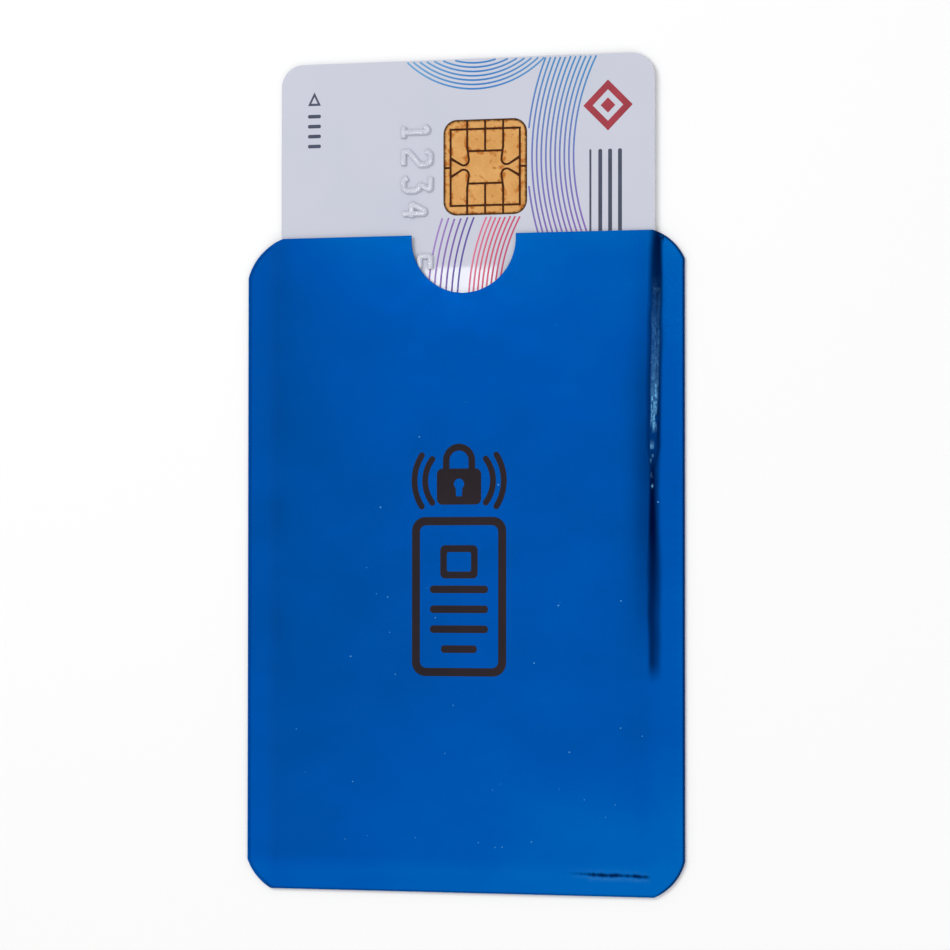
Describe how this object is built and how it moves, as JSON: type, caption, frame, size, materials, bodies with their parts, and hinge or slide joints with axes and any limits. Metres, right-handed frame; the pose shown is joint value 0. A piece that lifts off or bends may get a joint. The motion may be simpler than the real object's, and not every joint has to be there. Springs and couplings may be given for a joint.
{
  "type": "rfid card holder",
  "caption": "Thin laminated foil sleeve, sealed on three sides, with a thumb notch at its mouth and a chip card that slides in its pocket.",
  "frame": {"origin": "centre of the sleeve's flat back face, on the surface that the holder lies on", "axes": "+Z out of the front panel, +Y along the sleeve towards its mouth, +X across the sleeve"},
  "size_m": [0.0632, 0.1154, 0.0017],
  "materials": {
    "blue_film": "gloss",
    "shield_foil": "satin",
    "liner_paper": "matte",
    "seam_adhesive": "satin",
    "card_overlay": "satin",
    "card_core": "satin",
    "card_inlay": "matte",
    "stripe": "satin",
    "signature": "matte",
    "number_foil": "polished",
    "contacts": "satin",
    "substrate": "matte",
    "hot_melt": "satin",
    "silicon": "polished",
    "gold_wire": "polished",
    "resin": "gloss",
    "copper": "satin",
    "conductive_joint": "matte"
  },
  "bodies": {
    "sleeve": {"back_film": "blue_film", "back_foil": "shield_foil", "back_liner": "liner_paper", "left_seam": "seam_adhesive", "right_seam": "seam_adhesive", "bottom_seam": "seam_adhesive", "front_liner": "liner_paper", "front_foil": "shield_foil", "front_film": "blue_film"},
    "card": {"card_back_overlay": "card_overlay", "magnetic_stripe": "stripe", "signature_panel": "signature", "card_back_core": "card_core", "card_inlay": "card_inlay", "card_front_core": "card_core", "card_front_overlay": "card_overlay", "number_foil": "number_foil", "chip_contacts": "contacts", "chip_substrate": "substrate", "chip_adhesive": "hot_melt", "chip_die": "silicon", "bond_wires": "gold_wire", "chip_encapsulant": "resin", "antenna_coil": "copper", "antenna_bridge": "copper", "antenna_terminals": "conductive_joint"}
  },
  "joints": [
    {"name": "card_slide", "type": "slide", "parent": "sleeve", "child": "card", "axis": [0, 1, 0], "range_m": [-0.0257, 0.065]}
  ]
}
